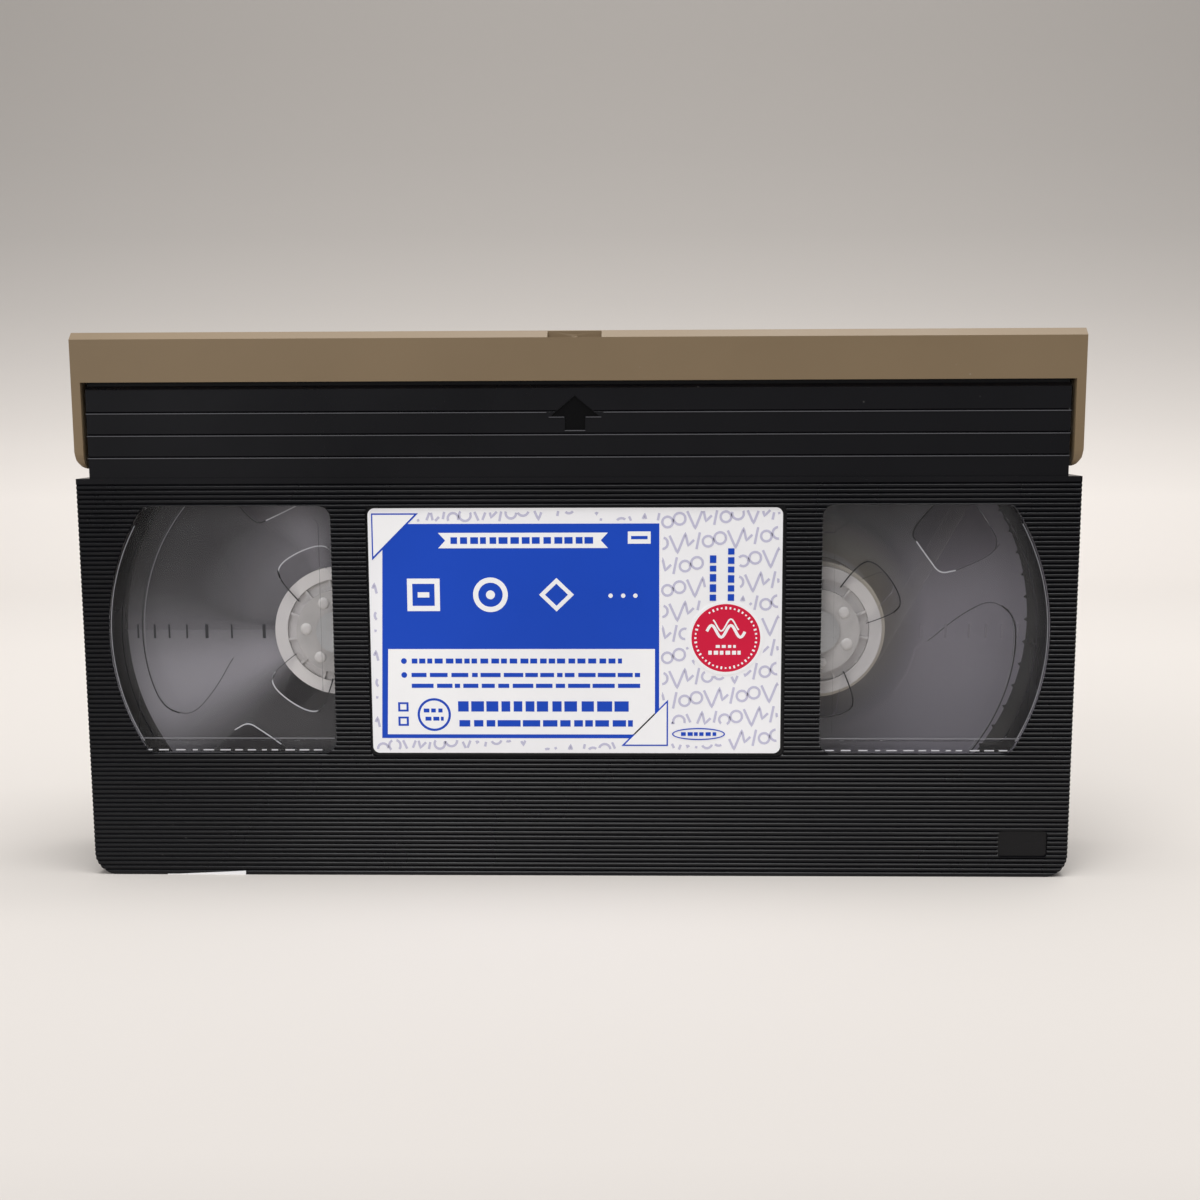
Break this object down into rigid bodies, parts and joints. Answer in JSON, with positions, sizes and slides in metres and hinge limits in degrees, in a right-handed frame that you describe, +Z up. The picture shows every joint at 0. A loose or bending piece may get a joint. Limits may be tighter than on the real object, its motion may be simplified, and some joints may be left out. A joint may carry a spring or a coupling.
{
  "type": "video tape cassette",
  "caption": "Home-video tape cassette with a ribbed shell, clear reel windows, sprung front flap, braked reels and a paper label.",
  "frame": {"origin": "middle of the spine edge that the cassette stands on", "axes": "+X along the length to the right of the label side, +Y from the label side to the hub side, +Z up to the flap"},
  "size_m": [0.188, 0.025, 0.104],
  "materials": {
    "shell_black": "black moulded styrene, finely ribbed",
    "flap_tan": "brownish satin moulding",
    "clear_plastic": "clear moulding",
    "white_plastic": "milky white moulding",
    "tape_film": "dark coated film",
    "brake_plastic": "plain moulding",
    "spring_steel": "bright spring steel",
    "pin_steel": "polished steel",
    "screw_steel": "plated steel",
    "label_paper": "coated paper, printed",
    "seal_red": "printed film",
    "sticker_white": "white film"
  },
  "bodies": {
    "case": {"upper_shell": "shell_black", "lower_shell": "shell_black", "left_window": "clear_plastic", "right_window": "clear_plastic", "flap_spring": "spring_steel", "flap_lock_spring": "spring_steel", "reel_spring": "spring_steel", "roller_pin": "pin_steel", "left_guide_pin": "pin_steel", "right_guide_pin": "pin_steel", "tape_run": "tape_film", "brake_spring": "spring_steel", "screws": "screw_steel", "front_label": "label_paper", "seal_sticker": "seal_red", "notch_sticker": "sticker_white"},
    "flap_door": {"flap": "flap_tan"},
    "lock_lever": {"flap_lock": "shell_black"},
    "roller": {"guide_roller": "white_plastic"},
    "supply": {"supply_reel": "white_plastic", "supply_top_flange": "clear_plastic", "supply_tape_pack": "tape_film", "supply_clamp": "white_plastic"},
    "takeup": {"takeup_reel": "white_plastic", "takeup_top_flange": "clear_plastic", "takeup_tape_pack": "tape_film", "takeup_clamp": "white_plastic"},
    "left_brake": {"brake_left": "brake_plastic"},
    "right_brake": {"brake_right": "brake_plastic"},
    "release": {"brake_release": "brake_plastic"}
  },
  "joints": [
    {"name": "flap_hinge", "type": "hinge", "parent": "case", "child": "flap_door", "pos_m": [0, -0.008, 0.083], "axis": [1, 0, 0], "range_deg": [0, 90], "stiffness_Nm_per_rad": 0.006, "springref_deg": -51.57},
    {"name": "lock_hinge", "type": "hinge", "parent": "case", "child": "lock_lever", "pos_m": [0.0886, -0.005, 0.0705], "axis": [0, -1, 0], "range_deg": [0, 8], "stiffness_Nm_per_rad": 0.002, "springref_deg": -14.32, "deforming": ["flap_lock_spring"]},
    {"name": "roller_spin", "type": "hinge", "parent": "case", "child": "roller", "pos_m": [-0.084, 0, 0.0962], "axis": [0, 1, 0], "continuous": true},
    {"name": "supply_spin", "type": "hinge", "parent": "case", "child": "supply", "pos_m": [-0.046, 0, 0.0473], "axis": [0, 1, 0], "continuous": true},
    {"name": "takeup_spin", "type": "hinge", "parent": "case", "child": "takeup", "pos_m": [0.046, 0, 0.0473], "axis": [0, 1, 0], "continuous": true},
    {"name": "left_brake_hinge", "type": "hinge", "parent": "case", "child": "left_brake", "pos_m": [-0.0078, 0.0075, 0.0098], "axis": [0, 1, 0], "range_deg": [0, 8]},
    {"name": "right_brake_hinge", "type": "hinge", "parent": "case", "child": "right_brake", "pos_m": [0.0078, 0.0075, 0.0098], "axis": [0, -1, 0], "range_deg": [0, 8]},
    {"name": "release_hinge", "type": "hinge", "parent": "case", "child": "release", "pos_m": [0, 0.0093, 0.0075], "axis": [1, 0, 0], "range_deg": [0, 10], "stiffness_Nm_per_rad": 0.002, "springref_deg": -17.19}
  ],
  "couplings": [
    {"joint": "takeup_spin", "follows": "supply_spin", "ratio": 3.1439},
    {"joint": "left_brake_hinge", "follows": "release_hinge", "ratio": 0.8},
    {"joint": "right_brake_hinge", "follows": "release_hinge", "ratio": 0.8}
  ]
}
